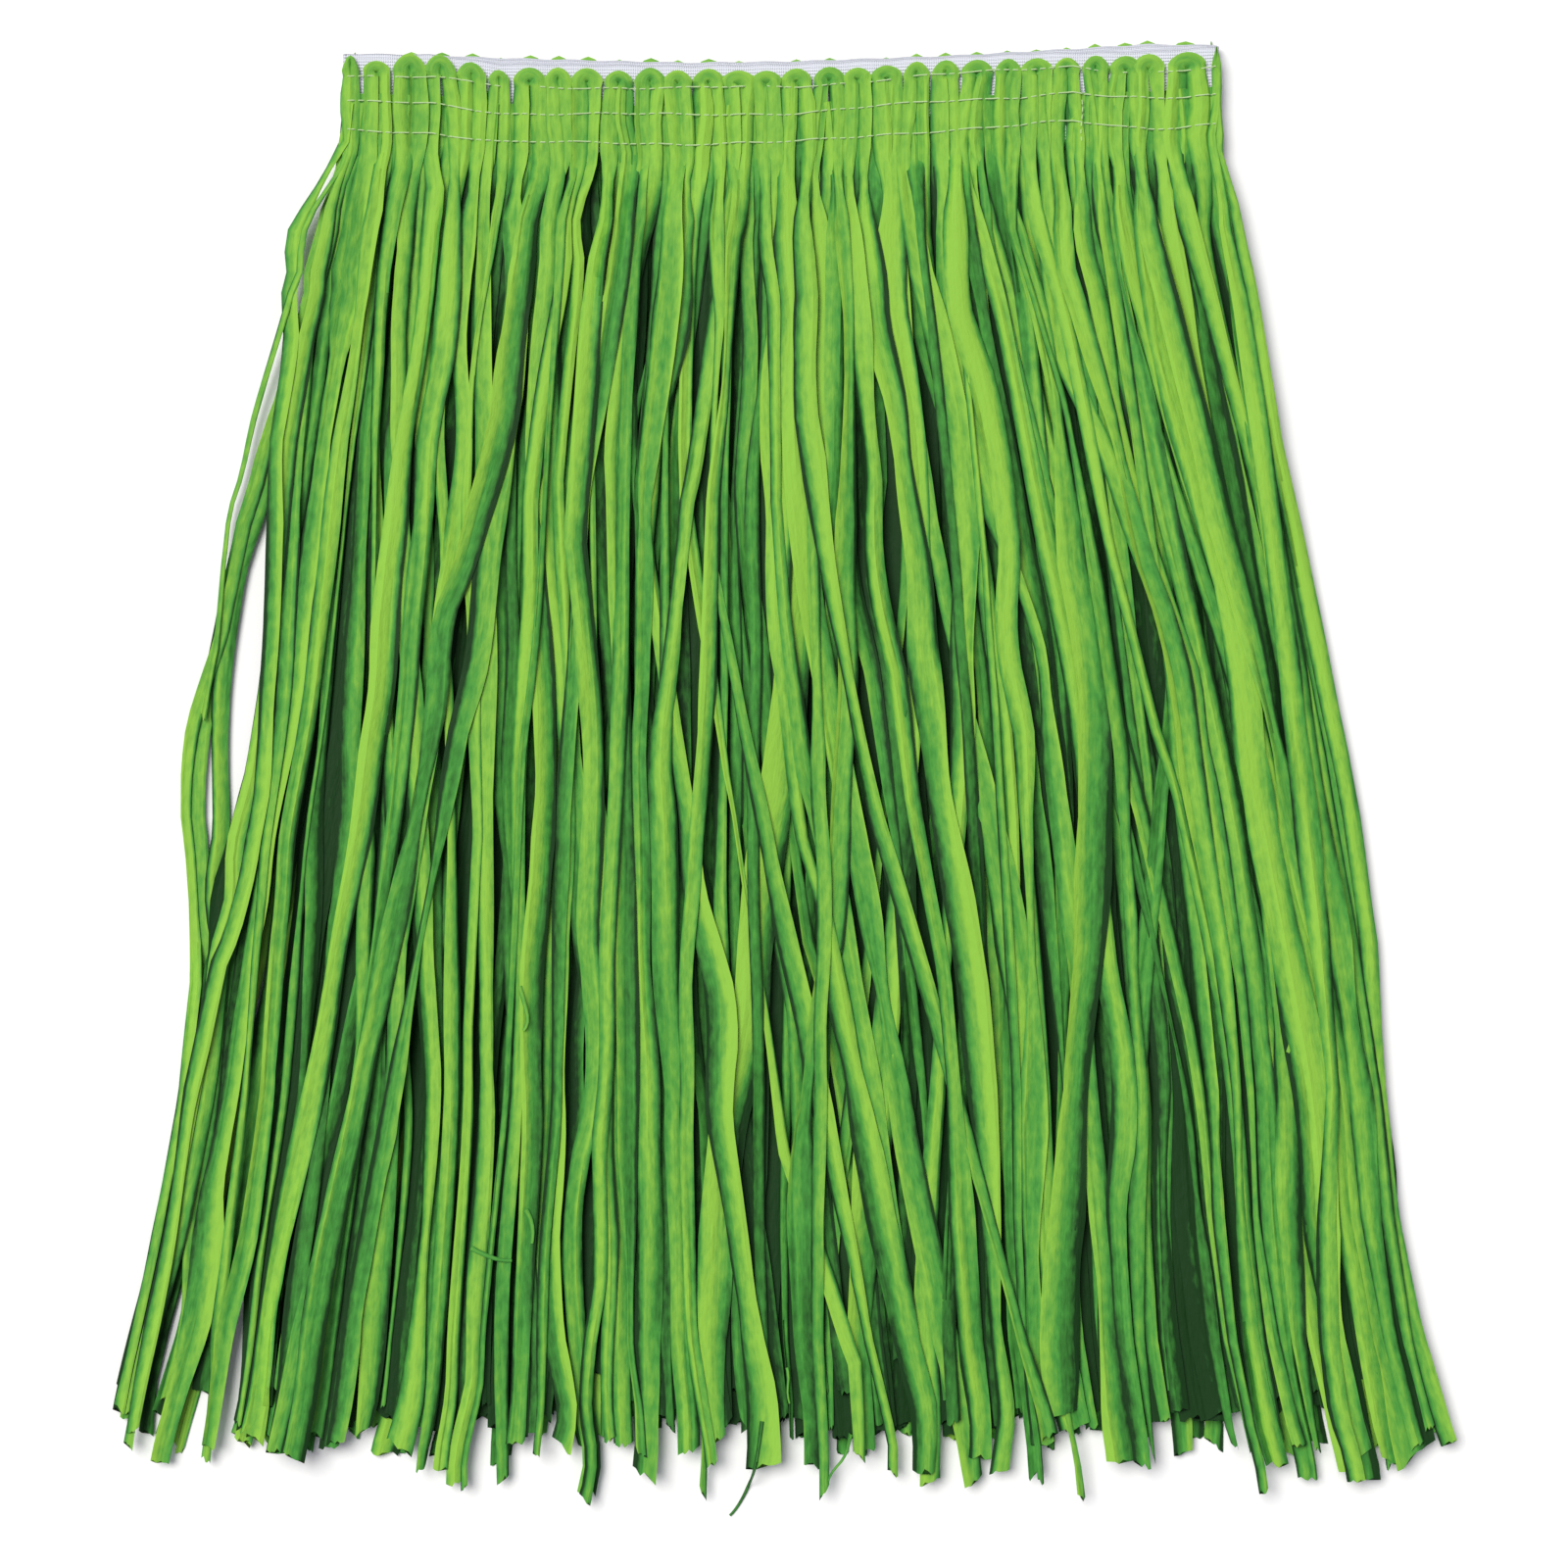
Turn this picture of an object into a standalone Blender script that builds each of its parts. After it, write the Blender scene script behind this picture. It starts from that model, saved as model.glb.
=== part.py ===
"""Grass skirt laid flat, with a white elastic waist tape and green paper raffia.

The raffia is stitched to the outside of the tape all round, so the flat skirt is a stack: back locks,
back of the tape, front of the tape, front locks. Each lock is a bundle of neighbouring strips, from its
two loops over the top of the tape down to its ragged ends. The skirt lies on its back locks, with the
waist towards +Y. Table values are millimetres. "drop" is the distance down from the line of the loops,
and "across" is the distance to the right of the middle of the waist.
"""
from collections import namedtuple
import math

import bmesh
import bpy
from mathutils import Vector

MM = 0.001

# Driving sizes, in millimetres.
WAIST_WIDTH = 378.0        # the waist, laid flat and unstretched
TAPE_HEIGHT = 38.0         # width of the elastic
TAPE_WALL = 1.2
TAPE_RISE = 2.0            # the tape stands this far above the loops
TAPE_INSET = 2.5           # from the edge of the waist to where the tape folds round
HEM_DROP = 601.0           # average length of the raffia
HEM_RAGGED = 8.0           # how far one tip is longer or shorter than its neighbours
HEM_RISE = 9.0             # the outermost locks end this far above the others,
HEM_RISE_STARTS = 0.8      # from this share of the way out to the sides
LOOP_HEIGHT = 5.0
SEAM_GAP = 0.3             # clearance between pieces that touch

LOCKS = 16                 # locks on each side, two loops to a lock
COLUMNS = 6                # lengthwise facets across a lock
ROW_DROPS = (0.0, 11.0, 26.0, 42.0, 62.0, 105.0, 175.0, 260.0, 350.0, 445.0, 540.0)
HEADING_DROP = 42.0        # the pressed, stitched part ends here
SAG_FADES_BY = 150.0       # below this the strips no longer follow the dip of the waist
TAPE_STEPS = 28            # facets along the front, and along the back, of the tape
TAPE_FOLD_STEPS = 6        # facets round each side fold of the tape

FOLD_PRESSED = 0.10        # depth of the folds in the heading, as a share of a lock's thickness
FOLD_LOOSE = 0.35          # and below it
FOLD_OPENS_OVER = 120.0
EDGE_ROUNDING = 1.6        # the edges of a lock are lower than its folds
SWAY_REACH = 4.5           # how far the line between two locks swings to the side near the hem
SWAY_GROWS_OVER = 500.0
SWAY_LENGTHS = (130.0, 61.0)   # lengths along the lock of its long and its short swing
UNEVEN_TURN = 2.4          # radians between neighbours, so that no two swings or tips match
BACK_TURN = 1.1            # and between the front and the back
SETTLES_OVER = 14.0        # outside the back's edge the front sinks to the ground over this width
SETTLES_BELOW = 90.0       # and starting over this length below the heading
OUTER_THINNING = 0.45      # the locks that lie on the ground hold fewer strips

# The outline of each side of the skirt.
Outline = namedtuple("Outline", "drop front_left front_right back_left back_right")
OUTLINE = (
    Outline(0, -189.0, 189.0, -188.0, 188.0),
    Outline(31, -191.0, 190.5, -189.0, 189.0),
    Outline(44, -195.5, 192.5, -190.5, 190.5),
    Outline(69, -208.5, 199.5, -192.0, 194.0),
    Outline(107, -215.5, 208.5, -195.0, 201.0),
    Outline(195, -239.5, 226.0, -206.0, 217.0),
    Outline(271, -250.5, 239.5, -219.0, 230.0),
    Outline(321, -258.5, 249.5, -232.0, 240.0),
    Outline(372, -257.5, 258.5, -240.0, 247.0),
    Outline(447, -259.5, 262.5, -246.0, 254.0),
    Outline(548, -279.5, 277.0, -258.0, 267.0),
    Outline(592, -285.0, 296.0, -270.0, 277.0),
)

# The dip of the waist: how far below a straight line the loops are, on each side.
Dip = namedtuple("Dip", "across front back")
WAIST_DIP = (
    Dip(-189, 1.0, 1.0),
    Dip(-150, 1.5, 1.0),
    Dip(-120, 5.5, 2.0),
    Dip(-41, 6.3, 4.0),
    Dip(5, 5.5, 3.5),
    Dip(73, 2.5, 1.2),
    Dip(111, 0.8, -1.0),
    Dip(157, 0.2, -4.0),
    Dip(189, -2.0, -3.4),
)

# The stack of the flat skirt, from the surface it lies on: heights of its faces over the middle.
Stack = namedtuple("Stack", "drop back_top front_under front_top")
STACK = (
    Stack(0, 2.6, 7.0, 9.4),
    Stack(42, 2.8, 7.0, 9.8),
    Stack(62, 6.4, 7.0, 13.2),
    Stack(105, 6.8, 7.2, 15.0),
    Stack(260, 7.6, 8.0, 16.2),
    Stack(445, 6.6, 7.0, 14.0),
    Stack(540, 5.6, 6.0, 11.8),
    Stack(640, 4.2, 4.6, 8.8),
)

# The gap between neighbouring locks, which opens below the heading.
Opening = namedtuple("Opening", "drop gap")
LOCK_GAP = (
    Opening(0, 0.4),
    Opening(42, 0.5),
    Opening(105, 1.2),
    Opening(350, 2.2),
    Opening(540, 3.4),
    Opening(640, 5.0),
)

# Long slits where an outer lock has swung away from the next one.
Slit = namedtuple("Slit", "side boundary middle half_length gap")
SLITS = (
    Slit("front", 1, 255.0, 125.0, 15.0),
    Slit("front", 15, 315.0, 70.0, 3.5),
)

# Tips that hang below the hem: the lock, the facet line in it, and how far below the average hem.
Tip = namedtuple("Tip", "side lock column extra")
LONG_TIPS = (
    Tip("front", 4, 3, 18.0),
    Tip("front", 6, 1, 20.0),
    Tip("front", 7, 2, 18.0),
    Tip("front", 8, 1, 28.0),
    Tip("front", 9, 1, 17.0),
    Tip("front", 14, 2, 15.0),
    Tip("back", 4, 3, 12.0),
    Tip("back", 13, 4, 15.0),
)


def smooth(fraction):
    """Ease a fraction from 0 to 1 with level ends."""
    fraction = min(1.0, max(0.0, fraction))
    return fraction * fraction * (3.0 - 2.0 * fraction)


def read_table(table, value, column):
    """The value of a named column between the rows of a table, whose first column is in rising order."""
    for low, high in zip(table, table[1:]):
        if value <= high[0]:
            share = max(0.0, (value - low[0]) / (high[0] - low[0]))
            start = getattr(low, column)
            return start + share * (getattr(high, column) - start)
    return getattr(table[-1], column)


def waist_dip(side, across, drop):
    """How far the dip of the waist lowers a point of one side; it fades out down the skirt."""
    fade = 1.0 - smooth((drop - HEADING_DROP) / (SAG_FADES_BY - HEADING_DROP))
    return fade * read_table(WAIST_DIP, across, side)


def sway(side, boundary, drop):
    """Sideways swing of the line between two locks, none at the waist and growing down the skirt."""
    turn = UNEVEN_TURN * boundary + (BACK_TURN if side == "back" else 0.0)
    reach = SWAY_REACH * smooth(drop / SWAY_GROWS_OVER)
    long_swing, short_swing = SWAY_LENGTHS
    return reach * (math.sin(turn + drop / long_swing) + 0.5 * math.sin(1.7 * turn - drop / short_swing))


def boundary_across(side, boundary, drop):
    """Where the line between two locks runs at a drop; the first and last lines are the outline."""
    left = read_table(OUTLINE, drop, side + "_left")
    right = read_table(OUTLINE, drop, side + "_right")
    across = left + (right - left) * boundary / LOCKS
    if 0 < boundary < LOCKS:
        across += sway(side, boundary, drop)
    return across


def half_gap(side, boundary, drop):
    """Half of the gap along the line between two locks."""
    gap = read_table(LOCK_GAP, drop, "gap")
    for slit in SLITS:
        if slit.side == side and slit.boundary == boundary:
            gap += slit.gap * smooth(1.0 - abs(drop - slit.middle) / slit.half_length)
    return gap / 2.0


def tip_drop(side, lock, column):
    """How far down the raffia ends at one facet line of a lock."""
    turn = UNEVEN_TURN * (lock * (COLUMNS + 1) + column) + (BACK_TURN if side == "back" else 0.0)
    drop = HEM_DROP + HEM_RAGGED * math.sin(turn)
    for tip in LONG_TIPS:
        if (tip.side, tip.lock, tip.column) == (side, lock, column):
            drop = HEM_DROP + tip.extra
    from_middle = abs(2.0 * (lock - 1) + 1.0 - LOCKS) / LOCKS
    return drop - HEM_RISE * smooth((from_middle - HEM_RISE_STARTS) / (1.0 - HEM_RISE_STARTS))


def loop_top(column):
    """How far below the loops' line the top edge is at a facet line: two round loops, with notches."""
    in_loop = math.sin(2.0 * math.pi * column / COLUMNS)
    return LOOP_HEIGHT * (1.0 - min(1.0, abs(in_loop) / math.sin(2.0 * math.pi / COLUMNS)))


def fold_height(column, drop):
    """Share of a lock's thickness at a facet line: lengthwise folds that deepen below the heading."""
    depth = FOLD_PRESSED + (FOLD_LOOSE - FOLD_PRESSED) * smooth((drop - HEADING_DROP) / FOLD_OPENS_OVER)
    if column in (0, COLUMNS):
        return 1.0 - EDGE_ROUNDING * depth
    return 1.0 - depth * (column % 2 == 0)


def settled(across, drop):
    """How far the front has sunk to the ground, from 0 over the back to 1 well outside its edges."""
    left = read_table(OUTLINE, drop, "back_left")
    right = read_table(OUTLINE, drop, "back_right")
    outside = max(left - across, across - right)
    return smooth(outside / SETTLES_OVER) * smooth((drop - HEADING_DROP) / SETTLES_BELOW)


def lower_and_upper(side, across, drop):
    """Heights of the two faces of the raffia at a place, before the folds."""
    if side == "back":
        return 0.0, read_table(STACK, drop, "back_top")
    under = read_table(STACK, drop, "front_under")
    thickness = read_table(STACK, drop, "front_top") - under
    sunk = settled(across, drop)
    under *= 1.0 - sunk
    return under, under + thickness * (1.0 - OUTER_THINNING * sunk)


def material(name, colour, roughness):
    """A plain Principled material."""
    finish = bpy.data.materials.new(name)
    finish.use_nodes = True
    shader = finish.node_tree.nodes["Principled BSDF"]
    shader.inputs["Base Color"].default_value = (*colour, 1.0)
    shader.inputs["Roughness"].default_value = roughness
    shader.inputs["Metallic"].default_value = 0.0
    return finish


def add_object(name, mesh_edit, finish):
    """Turn a finished bmesh into a named object."""
    bmesh.ops.recalc_face_normals(mesh_edit, faces=mesh_edit.faces)
    if mesh_edit.calc_volume(signed=True) < 0.0:
        bmesh.ops.reverse_faces(mesh_edit, faces=mesh_edit.faces)
    mesh = bpy.data.meshes.new(name)
    mesh_edit.to_mesh(mesh)
    mesh_edit.free()
    mesh.materials.append(finish)
    piece = bpy.data.objects.new(name, mesh)
    bpy.context.scene.collection.objects.link(piece)
    return piece


def lock_point(side, lock, column, row, on_top):
    """A point of a lock, from its facet line, its row and whether it is on the upper face."""
    if row < len(ROW_DROPS):
        drop = ROW_DROPS[row]
    else:
        drop = tip_drop(side, lock, column)
    left = boundary_across(side, lock - 1, drop) + half_gap(side, lock - 1, drop)
    right = boundary_across(side, lock, drop) - half_gap(side, lock, drop)
    across = left + (right - left) * column / COLUMNS
    if row == 0:
        drop = loop_top(column)
    down = drop + waist_dip(side, across, drop)
    under, over = lower_and_upper(side, across, drop)
    height = under + (over - under) * fold_height(column, drop) if on_top else under
    return Vector((across, -down, height)) * MM


def make_lock(side, lock, finish):
    """One lock of raffia: a slab of facets, laid out between its neighbours and ended in ragged tips."""
    rows = len(ROW_DROPS)
    slab = bmesh.new()
    bmesh.ops.create_grid(slab, x_segments=COLUMNS, y_segments=rows, size=0.5)
    raised = bmesh.ops.extrude_face_region(slab, geom=slab.faces[:], use_keep_orig=True)
    upper = [item for item in raised["geom"] if isinstance(item, bmesh.types.BMVert)]
    bmesh.ops.translate(slab, verts=upper, vec=(0.0, 0.0, 1.0))
    for point in slab.verts:
        column = round((point.co.x + 0.5) * COLUMNS)
        row = round((0.5 - point.co.y) * rows)
        point.co = lock_point(side, lock, column, row, point.co.z > 0.5)
    if side == "back":
        under = {face for face in slab.faces if max(point.co.z for point in face.verts) == 0.0}
        inside = [line for line in slab.edges if under.issuperset(line.link_faces)]
        bmesh.ops.dissolve_edges(slab, edges=inside, use_verts=False)
    return add_object("%s_lock_%02d" % (side, lock), slab, finish)


def tape_outline(radius):
    """Points round the flattened ring of tape: how far across, and how far over its middle."""
    straight = WAIST_WIDTH / 2.0 - TAPE_INSET
    points = []
    for sign in (1.0, -1.0):
        for step in range(TAPE_STEPS):
            points.append((sign * straight * (2.0 * step / (TAPE_STEPS - 1) - 1.0), sign * radius))
        for step in range(1, TAPE_FOLD_STEPS):
            turn = math.pi * step / TAPE_FOLD_STEPS
            points.append((sign * (straight + radius * math.sin(turn)), sign * radius * math.cos(turn)))
    return points


def make_tape(finish):
    """The waist tape: a strip of facets rolled round the ring, and round the wall's four corners."""
    floor = read_table(STACK, 0, "back_top") + SEAM_GAP
    ceiling = read_table(STACK, 0, "front_under") - SEAM_GAP
    middle = (floor + ceiling) / 2.0
    outer = (ceiling - floor) / 2.0
    inner = outer - TAPE_WALL
    corners = ((outer, 0.0), (inner, 0.0), (inner, TAPE_HEIGHT), (outer, TAPE_HEIGHT))
    outlines = {radius: tape_outline(radius) for radius in (outer, inner)}
    around = len(outlines[outer])
    wall = bmesh.new()
    bmesh.ops.create_grid(wall, x_segments=around, y_segments=len(corners), size=0.5)
    for point in wall.verts:
        radius, down = corners[round((point.co.y + 0.5) * len(corners)) % len(corners)]
        across, height = outlines[radius][round((point.co.x + 0.5) * around) % around]
        front_share = (height / outer + 1.0) / 2.0
        front_dip = read_table(WAIST_DIP, across, "front")
        back_dip = read_table(WAIST_DIP, across, "back")
        down += back_dip + (front_dip - back_dip) * front_share - TAPE_RISE
        point.co = Vector((across, -down, middle + height)) * MM
    bmesh.ops.remove_doubles(wall, verts=wall.verts, dist=0.001 * MM)
    return add_object("waist_tape", wall, finish)


def centre_on_ground(pieces):
    """Move every piece so that the whole skirt stands over the origin, with its lowest face at zero."""
    points = [point.co for piece in pieces for point in piece.data.vertices]
    low = Vector([min(place[axis] for place in points) for axis in range(3)])
    high = Vector([max(place[axis] for place in points) for axis in range(3)])
    shift = Vector(((low.x + high.x) / 2.0, (low.y + high.y) / 2.0, low.z))
    for piece in pieces:
        for point in piece.data.vertices:
            point.co -= shift


def main():
    for item in list(bpy.data.objects):
        bpy.data.objects.remove(item, do_unlink=True)
    front_green = material("raffia_front", (0.23, 0.50, 0.06), 0.55)
    back_green = material("raffia_back", (0.15, 0.38, 0.05), 0.6)
    tape_white = material("tape", (0.82, 0.82, 0.88), 0.7)
    pieces = [make_tape(tape_white)]
    for side, finish in (("back", back_green), ("front", front_green)):
        pieces += [make_lock(side, lock, finish) for lock in range(1, LOCKS + 1)]
    centre_on_ground(pieces)


main()
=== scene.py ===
"""Grass skirt laid flat: strips of paper raffia, looped and sewn to both sides of a white elastic tape.

Every strip is laid in turn, lowest first, on a heap that keeps the height of what already lies there,
so the strips rest on each other. Sizes are in millimetres until a mesh is made: "across" is the distance
to the right of the middle of the waist, "drop" the distance down from the line of the loops.
"""
from collections import namedtuple
import math

import bmesh
import bpy
import numpy as np
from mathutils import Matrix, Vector

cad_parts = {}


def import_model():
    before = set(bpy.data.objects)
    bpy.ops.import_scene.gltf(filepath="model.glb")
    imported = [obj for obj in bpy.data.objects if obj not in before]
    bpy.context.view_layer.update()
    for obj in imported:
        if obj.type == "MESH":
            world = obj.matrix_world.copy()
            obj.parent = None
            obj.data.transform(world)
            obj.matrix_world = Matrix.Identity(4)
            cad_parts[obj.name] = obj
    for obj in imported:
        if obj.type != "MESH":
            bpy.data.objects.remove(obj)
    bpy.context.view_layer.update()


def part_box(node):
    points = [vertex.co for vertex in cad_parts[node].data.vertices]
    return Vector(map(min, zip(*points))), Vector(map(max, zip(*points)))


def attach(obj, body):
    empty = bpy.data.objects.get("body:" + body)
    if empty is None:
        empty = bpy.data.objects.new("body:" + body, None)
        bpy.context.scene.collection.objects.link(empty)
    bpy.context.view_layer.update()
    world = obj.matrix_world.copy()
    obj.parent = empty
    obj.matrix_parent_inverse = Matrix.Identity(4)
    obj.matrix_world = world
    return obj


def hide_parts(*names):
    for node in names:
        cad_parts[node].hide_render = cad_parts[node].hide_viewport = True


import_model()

MM = 0.001
WAIST_WIDTH = 378.0
TAPE_HEIGHT = 38.0
TAPE_WALL = 1.2
TAPE_RISE = 2.0                      # how far the tape stands above the front's loops
TAPE_INSET = 2.5                     # from the side of the waist to where the ring turns back
rng = np.random.default_rng(23)

# Where the skirt lies, read from the waist tape of the frame.
tape_low, tape_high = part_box("waist_tape")
TAPE_STANDS_UP = 6.0
MIDDLE_X = (tape_low.x + tape_high.x) / 2.0
LOOP_LINE_Y = tape_high.y - TAPE_STANDS_UP * MM

HEM_DROP = 601.0
LOOPS = 30
LOOP_PITCH = 12.8
LOOP_RADIUS = 2.9
FIRST_LOOP = -184.8
BACK_LOOPS_RISE = 3.4                # the back's loops stand this much higher on the tape
ROWS = (8.2, 19.6, 32.0)             # drops of the three rows of stitches
HEADING_DROP = 35.0                  # below this the strips open out
PAPER = 0.32                         # thickness of a strip
LINES = 7                            # lines along a strip, its two edges among them


def table(fields, *rows):
    """Rows of numbers with named columns."""
    kind = namedtuple("Row", fields)
    return [kind(*row) for row in rows]


# Middles of the outermost strips of the body, on the front and on the back.
FAN = table(
    "drop front_left front_right back_left back_right",
    (0, -186, 187, -184, 185),
    (40, -187, 188, -185, 187),
    (75, -195, 193, -187, 190),
    (107, -201, 200, -190, 194),
    (166, -211, 211, -196, 203),
    (212, -217, 219, -202, 212),
    (271, -225, 229, -209, 222),
    (321, -233, 237, -216, 230),
    (380, -242, 247, -226, 240),
    (447, -251, 257, -236, 248),
    (500, -260, 262, -245, 255),
    (550, -270, 270, -254, 262),
    (600, -279, 283, -264, 270),
    (660, -286, 292, -272, 278),
)

# How far the strips are swept sideways of the fan on their way down, by where they start across the waist.
FLOW_DROPS = (90, 190, 300, 430, 600)
FLOW = table(
    "start at_90 at_190 at_300 at_430 at_600",
    (-190, 0, 0, 0, 0, 0),
    (-150, 5, 10, 14, 16, 8),
    (-111, 1, 0, -2, -8, -8),
    (-72, 0, -4, 6, 20, 36),
    (-32, 0, -9, -4, 13, 42),
    (6, 1, -4, 2, 16, 40),
    (45, 3, 14, 26, 34, 42),
    (85, 1, 16, 30, 36, 38),
    (124, -3, 9, 23, 29, 30),
    (164, 0, 4, 8, 10, 8),
    (190, 0, 0, 0, 0, 0),
)

# How far the loops hang below a straight line, on each side. It fades out down the skirt.
WAIST_DIP = table(
    "across front back",
    (-189, 1.0, 1.0),
    (-150, 1.5, 1.0),
    (-120, 5.5, 2.0),
    (-41, 6.3, 4.0),
    (5, 5.5, 3.5),
    (73, 2.5, 1.2),
    (111, 0.8, -1.0),
    (157, 0.2, -4.0),
    (189, -2.0, -3.4),
)
DIP_FADES = (42.0, 150.0)

# How far the rows of stitches climb on their way across.
SEWING = table(
    "across rise",
    (-189, 0.6), (-150, 0.0), (10, 0.0), (66, 2.2), (104, 2.8),
    (125, 4.0), (141, 1.8), (166, 0.2), (189, 0.8),
)

# Loops that are wider, narrower, higher or lower than the rest.
ODD_LOOPS = table(
    "number centre radius rise",
    (0, -184.8, 1.7, 1.2),
    (1, -173.5, 2.7, -1.0),
    (2, -159.2, 3.4, 2.2),
    (3, -146.0, 3.2, 2.4),
    (4, -132.8, 3.0, 1.0),
    (5, -120.8, 2.0, -0.8),
    (10, -56.0, 3.3, 0.9),
    (27, 157.5, 3.2, 0.8),
    (28, 174.0, 4.0, 0.6),
    (29, 187.2, 1.0, 2.2),
)

# Heights at which the layers of strips lie, where nothing pushes them up.
STACK = table(
    "drop back_outer back_inner front_inner front_middle front_outer",
    (0, 0.6, 1.8, 7.2, 7.4, 8.4),
    (42, 0.6, 1.8, 7.2, 7.4, 8.4),
    (60, 0.5, 3.0, 7.2, 8.6, 11.0),
    (90, 0.5, 3.6, 7.0, 9.6, 13.6),
    (260, 0.5, 3.6, 6.6, 10.0, 15.0),
    (445, 0.5, 3.2, 5.6, 8.6, 13.0),
    (540, 0.5, 2.6, 4.6, 6.8, 9.5),
    (590, 0.4, 1.8, 3.0, 4.4, 6.0),
    (612, 0.3, 0.6, 1.0, 1.2, 1.6),
)


# Long gaps between the front's strips. Dark ones show the layers below; open ones go right through.
PARTINGS = table(
    "across drop half_length gap lean open",
    (-203, 78, 17, 2.0, -0.30, True),
    (-205.5, 104, 14, 1.6, 0.0, True),
    (-230, 268, 105, 7.0, -0.03, True),
    (-239, 362, 30, 2.6, 0.0, True),
    (-141, 168, 45, 3.0, -0.02, False),
    (-139, 250, 45, 2.4, 0.0, False),
    (-108, 315, 100, 3.6, -0.03, False),
    (-85, 66, 24, 3.0, 0.0, False),
    (-83, 424, 50, 3.0, 0.0, False),
    (-32, 405, 60, 4.5, 0.02, False),
    (-7, 195, 70, 3.0, 0.0, False),
    (14, 363, 60, 3.0, 0.03, False),
    (45, 222, 45, 2.6, 0.12, False),
    (102, 252, 45, 3.0, 0.08, False),
    (161, 266, 50, 2.4, 0.06, False),
    (140, 440, 60, 3.0, 0.1, False),
    (-190, 330, 50, 2.4, -0.03, False),
    (-263, 560, 75, 5.5, -0.26, True),
    (-252, 605, 70, 6.0, -0.22, True),
    (-235, 575, 70, 5.0, -0.14, True),
    (-131, 608, 42, 7.0, 0.0, True),
    (-97, 600, 55, 4.0, 0.03, True),
    (-88, 604, 24, 5.0, 0.0, True),
    (103, 616, 40, 6.0, 0.1, True),
    (122, 616, 38, 5.0, 0.1, True),
    (192, 612, 26, 5.0, 0.1, True),
    (-83, 520, 70, 6.0, 0.05, False),
)
EDGE_CLEAR = 0.65                    # share of its half width by which a strip keeps off a parting


def read_table(rows, value, column):
    """A named column of a table, read between its rows; value may be an array."""
    return np.interp(value, [row[0] for row in rows], [getattr(row, column) for row in rows])


def smooth(share):
    share = np.clip(share, 0.0, 1.0)
    return share * share * (3.0 - 2.0 * share)


def waist_dip(side, across, drop):
    """How far the dip of the waist lowers a point."""
    fade = 1.0 - smooth((np.asarray(drop) - DIP_FADES[0]) / (DIP_FADES[1] - DIP_FADES[0]))
    return fade * read_table(WAIST_DIP, across, side)


def side_of(layer):
    """The side of the skirt that a layer belongs to."""
    return layer.split("_")[0]


def parted(layer, across, drop, half_width):
    """The way of a strip, pushed aside by the partings that it would run into."""
    for parting in PARTINGS:
        if not parting.open and layer not in ("front_outer", "front_middle"):
            continue
        centre = parting.across + parting.lean * (drop - parting.drop)
        own_side = 1.0 if np.interp(parting.drop, drop, across) > parting.across else -1.0
        away = (across - centre) * own_side
        lens = np.clip(1.0 - ((drop - parting.drop) / parting.half_length) ** 2, 0.0, 1.0)
        wanted = (parting.gap / 2.0 + EDGE_CLEAR * half_width) * lens ** 1.5
        pushed = 0.5 * (away + np.sqrt(away * away + 4.0 * wanted * wanted)) - np.maximum(away, 0.0)
        across = across + own_side * pushed
    return across


# ---------------------------------------------------------------- the heap that the strips are laid on

CELL = 1.4
HEAP_LEFT, HEAP_RIGHT = -310.0, 320.0
HEAP_TOP, HEAP_FOOT = -20.0, 660.0


class Heap:
    """Heights of what already lies on the ground, on a fine grid over the skirt."""

    def __init__(self):
        rows = int((HEAP_FOOT - HEAP_TOP) / CELL) + 1
        columns = int((HEAP_RIGHT - HEAP_LEFT) / CELL) + 1
        self.height = np.zeros((rows, columns))

    def cell(self, across, drop):
        column = np.clip((across - HEAP_LEFT) / CELL, 0, self.height.shape[1] - 1).astype(int)
        row = np.clip((drop - HEAP_TOP) / CELL, 0, self.height.shape[0] - 1).astype(int)
        return row, column

    def under(self, across, drop):
        return self.height[self.cell(across, drop)]

    def cover(self, across, drop, height):
        np.maximum.at(self.height, self.cell(across, drop), height)


ALONG, BESIDE = 6, 3                 # points filled in between rings and between lines, to feel the heap
BRIDGE = 3                           # rings: a strip bridges gaps up to twice as long as this
CLEAR = 0.2                          # a strip keeps this far off what it lies on
PROPS = 3                            # a strip rests on this many of the highest points below each ring
FLOOR = 0.05                         # and it never lies nearer to the ground than this


def filled(values):
    """A strip's values with points filled in along and across it."""
    rings, lines = values.shape
    ring = np.arange((rings - 1) * ALONG + 1) / ALONG
    line = np.arange((lines - 1) * BESIDE + 1) / BESIDE
    by_line = np.stack([np.interp(ring, np.arange(rings), values[:, k]) for k in range(lines)], axis=1)
    low = np.minimum(line.astype(int), lines - 2)
    share = line - low
    return by_line[:, low] * (1.0 - share) + by_line[:, low + 1] * share


def highest_near(values):
    """For each point of a strip, the highest of the filled-in values round it."""
    reach_along, reach_beside = ALONG // 2, BESIDE // 2 + 1
    padded = np.pad(values, ((reach_along,) * 2, (reach_beside,) * 2), mode="edge")
    rows, columns = values.shape
    return np.max([padded[a:a + rows:ALONG, b:b + columns:BESIDE]
                   for a in range(2 * reach_along + 1) for b in range(2 * reach_beside + 1)], axis=0)


def slide(values, reach, pick):
    """The highest or lowest value within reach rings of each ring."""
    padded = np.pad(values, reach, mode="edge")
    return pick([padded[k:k + len(values)] for k in range(2 * reach + 1)], axis=0)


def eased(values, passes):
    for _ in range(passes):
        padded = np.pad(values, 1, mode="edge")
        values = 0.25 * padded[:-2] + 0.5 * padded[1:-1] + 0.25 * padded[2:]
    return values


Planned = namedtuple("Planned", "leg across drop lowest pin tone order base height")


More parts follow.
